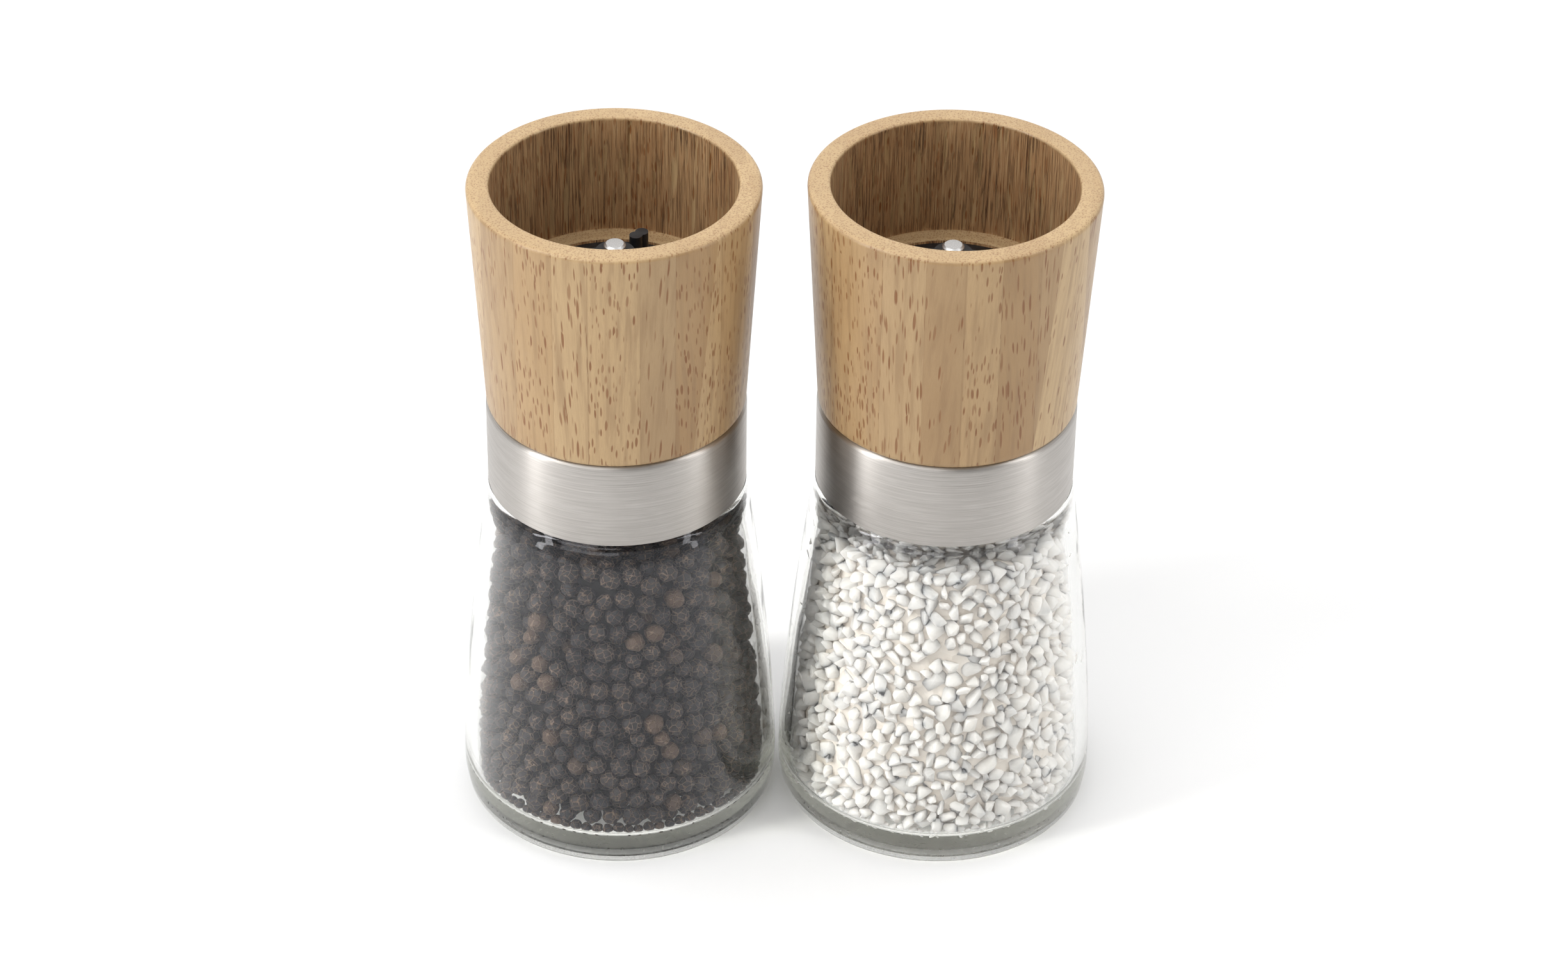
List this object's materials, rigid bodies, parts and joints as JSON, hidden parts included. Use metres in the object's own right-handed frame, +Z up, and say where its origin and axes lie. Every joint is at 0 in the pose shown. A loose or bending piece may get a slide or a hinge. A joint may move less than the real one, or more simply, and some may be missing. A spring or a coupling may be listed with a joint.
{
  "type": "salt and pepper mills",
  "caption": "Pepper and salt hand mills: tapered glass jars with their contents, screw-on steel-ringed collars and open bamboo cups that turn ceramic burrs.",
  "frame": {"origin": "on the table, midway between the two mills' axes, which stand along X", "axes": "+Z up along both mills' axes, +X from the pepper mill to the salt mill, +Y away from the viewer"},
  "size_m": [0.1314, 0.0654, 0.145],
  "materials": {
    "glass": "clear pressed glass, faint green in the thick base",
    "peppercorns": "dry wrinkled black peppercorns, wood standing in for their density",
    "salt_crystals": null,
    "seal_silicone": "translucent grey silicone",
    "black_plastic": "moulded satin black plastic",
    "brushed_steel": "stainless sheet brushed round its circumference",
    "machined_steel": "bright turned and drawn steel",
    "ceramic": "unglazed fine off-white ceramic",
    "bamboo": "laminated carbonised bamboo under satin lacquer"
  },
  "bodies": {
    "pepper_jar": {"pepper_glass_jar": "glass", "peppercorns": "peppercorns"},
    "pepper_lid_seal": {"pepper_seal": "seal_silicone"},
    "pepper_collar": {"pepper_thread_collar": "black_plastic", "pepper_steel_ring": "brushed_steel", "pepper_drive_shaft": "machined_steel", "pepper_shaft_clip": "machined_steel", "pepper_spring_washer": "machined_steel", "pepper_spring": "machined_steel"},
    "pepper_head": {"pepper_bamboo_sleeve": "bamboo", "pepper_burr_housing": "black_plastic", "pepper_ring_burr": "ceramic", "pepper_retaining_ring": "black_plastic", "pepper_housing_screws": "machined_steel"},
    "pepper_cone": {"pepper_grinding_cone": "ceramic"},
    "pepper_knob": {"pepper_adjusting_knob": "black_plastic"},
    "salt_jar": {"salt_glass_jar": "glass", "salt_crystals": "salt_crystals"},
    "salt_lid_seal": {"salt_seal": "seal_silicone"},
    "salt_collar": {"salt_thread_collar": "black_plastic", "salt_steel_ring": "brushed_steel", "salt_drive_shaft": "machined_steel", "salt_shaft_clip": "machined_steel", "salt_spring_washer": "machined_steel", "salt_spring": "machined_steel"},
    "salt_head": {"salt_bamboo_sleeve": "bamboo", "salt_burr_housing": "black_plastic", "salt_ring_burr": "ceramic", "salt_retaining_ring": "black_plastic", "salt_housing_screws": "machined_steel"},
    "salt_cone": {"salt_grinding_cone": "ceramic"},
    "salt_knob": {"salt_adjusting_knob": "black_plastic"}
  },
  "joints": [
    {"name": "pepper_collar_lift", "type": "slide", "parent": "pepper_jar", "child": "pepper_lid_seal", "axis": [0, 0, 1], "range_m": [0, 0.0116]},
    {"name": "pepper_collar_turn", "type": "hinge", "parent": "pepper_lid_seal", "child": "pepper_collar", "pos_m": [-0.033, 0, 0.0896], "axis": [0, 0, 1], "range_deg": [0, 990]},
    {"name": "pepper_head_turn", "type": "hinge", "parent": "pepper_collar", "child": "pepper_head", "pos_m": [-0.033, 0, 0.1], "axis": [0, 0, 1], "continuous": true},
    {"name": "pepper_cone_slide", "type": "slide", "parent": "pepper_collar", "child": "pepper_cone", "axis": [0, 0, 1], "range_m": [-0.00058, 0], "deforming": ["pepper_spring"]},
    {"name": "pepper_knob_turn", "type": "hinge", "parent": "pepper_cone", "child": "pepper_knob", "pos_m": [-0.033, 0, 0.12], "axis": [0, 0, 1], "range_deg": [-300, 0]},
    {"name": "salt_collar_lift", "type": "slide", "parent": "salt_jar", "child": "salt_lid_seal", "axis": [0, 0, 1], "range_m": [0, 0.0116]},
    {"name": "salt_collar_turn", "type": "hinge", "parent": "salt_lid_seal", "child": "salt_collar", "pos_m": [0.033, 0, 0.0896], "axis": [0, 0, 1], "range_deg": [0, 990]},
    {"name": "salt_head_turn", "type": "hinge", "parent": "salt_collar", "child": "salt_head", "pos_m": [0.033, 0, 0.1], "axis": [0, 0, 1], "continuous": true},
    {"name": "salt_cone_slide", "type": "slide", "parent": "salt_collar", "child": "salt_cone", "axis": [0, 0, 1], "range_m": [-0.00058, 0], "deforming": ["salt_spring"]},
    {"name": "salt_knob_turn", "type": "hinge", "parent": "salt_cone", "child": "salt_knob", "pos_m": [0.033, 0, 0.12], "axis": [0, 0, 1], "range_deg": [-300, 0]},
    {"name": "mills_apart", "type": "slide", "parent": "pepper_jar", "child": "salt_jar", "axis": [1, 0, 0], "range_m": [0, 0.1]}
  ],
  "couplings": [
    {"joint": "pepper_collar_lift", "follows": "pepper_collar_turn", "m_per_rad": 0.00066845},
    {"joint": "pepper_knob_turn", "follows": "pepper_cone_slide", "rad_per_m": 8976},
    {"joint": "salt_collar_lift", "follows": "salt_collar_turn", "m_per_rad": 0.00066845},
    {"joint": "salt_knob_turn", "follows": "salt_cone_slide", "rad_per_m": 8976}
  ]
}
